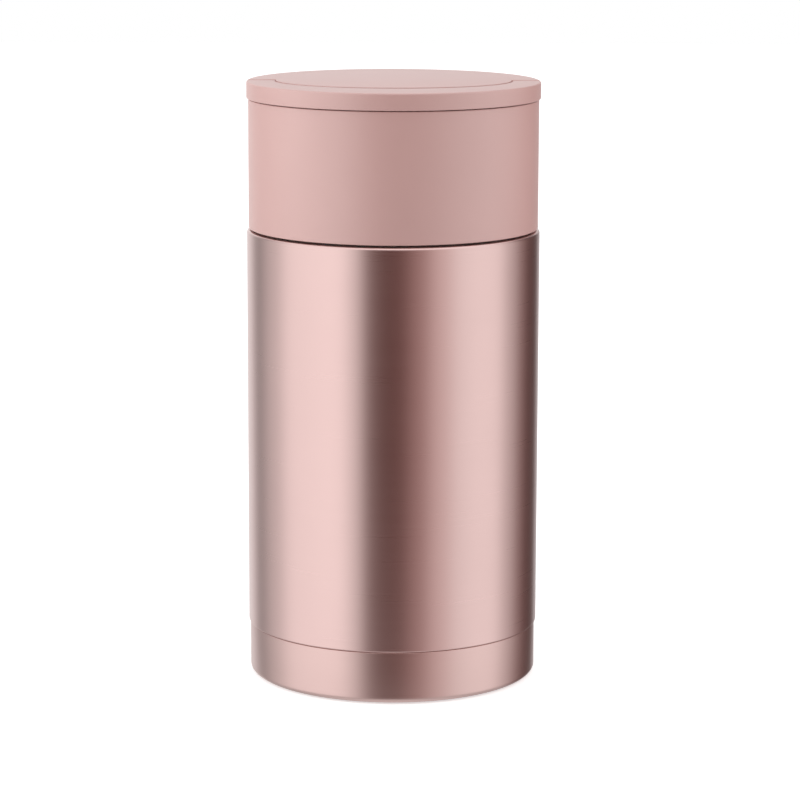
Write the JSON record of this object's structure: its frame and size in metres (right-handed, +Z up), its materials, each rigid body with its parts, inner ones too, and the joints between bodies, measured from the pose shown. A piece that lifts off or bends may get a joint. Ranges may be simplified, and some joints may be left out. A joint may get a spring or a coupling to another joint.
{
  "type": "insulated food jar",
  "caption": "Tall round insulated food jar: metallic rose steel body, matte pink screw lid with a half-ring handle folded flat into its top, vented screw stopper inside.",
  "frame": {"origin": "centre of the bottom, on the surface that the jar stands on", "axes": "+Z up along the jar's axis; -Y is the front, where the folded handle lies; the handle's pivots are along X"},
  "size_m": [0.1, 0.1, 0.2052],
  "materials": {
    "rose_metal": "satin metallic lacquer over brushed steel",
    "bare_steel": "satin",
    "pink_plastic": "fine matte",
    "white_plastic": "fine matte",
    "grey_plastic": "fine matte",
    "silicone": "translucent matte",
    "pad_rubber": "matte",
    "foam": "expanded foam",
    "spring_steel": "bright wire",
    "getter_metal": "sintered"
  },
  "bodies": {
    "flask": {"outer_shell": "rose_metal", "inner_vessel": "bare_steel", "shell_closure": "bare_steel", "vacuum_seal": "bare_steel", "getter": "getter_metal", "getter_clip": "bare_steel", "base_cup": "rose_metal", "base_pad": "pad_rubber", "neck_collar": "white_plastic"},
    "stopper_ring": {"stopper_seal": "silicone"},
    "stopper": {"stopper_body": "white_plastic", "stopper_base": "white_plastic", "stopper_foam": "foam", "vent_spring": "spring_steel"},
    "vent": {"vent_button": "pink_plastic", "vent_valve": "grey_plastic", "valve_seal": "silicone"},
    "lid_core": {"lid_foam": "foam"},
    "lid": {"lid_drum": "pink_plastic", "lid_liner": "white_plastic", "lid_cap": "pink_plastic", "handle_pins": "spring_steel"},
    "handle": {"carry_handle": "pink_plastic"}
  },
  "joints": [
    {"name": "stopper_rise", "type": "slide", "parent": "flask", "child": "stopper_ring", "axis": [0, 0, 1], "range_m": [0, 0.021]},
    {"name": "stopper_turn", "type": "hinge", "parent": "stopper_ring", "child": "stopper", "pos_m": [0, 0, 0.172], "axis": [0, 0, 1], "range_deg": [0, 630]},
    {"name": "vent_press", "type": "slide", "parent": "stopper", "child": "vent", "axis": [0, 0, -1], "range_m": [0, 0.0025], "stiffness_N_per_m": 400, "springref_m": -0.004, "deforming": ["vent_spring"]},
    {"name": "lid_rise", "type": "slide", "parent": "stopper", "child": "lid_core", "axis": [0, 0, 1], "range_m": [0, 0.03]},
    {"name": "lid_turn", "type": "hinge", "parent": "lid_core", "child": "lid", "pos_m": [0, 0, 0.18], "axis": [0, 0, 1], "range_deg": [0, 900]},
    {"name": "handle_swing", "type": "hinge", "parent": "lid", "child": "handle", "pos_m": [0, 0, 0.20215], "axis": [-1, 0, 0], "range_deg": [0, 92]}
  ],
  "couplings": [
    {"joint": "stopper_rise", "follows": "stopper_turn", "m_per_rad": 0.0019099},
    {"joint": "lid_rise", "follows": "lid_turn", "m_per_rad": 0.0019099}
  ]
}
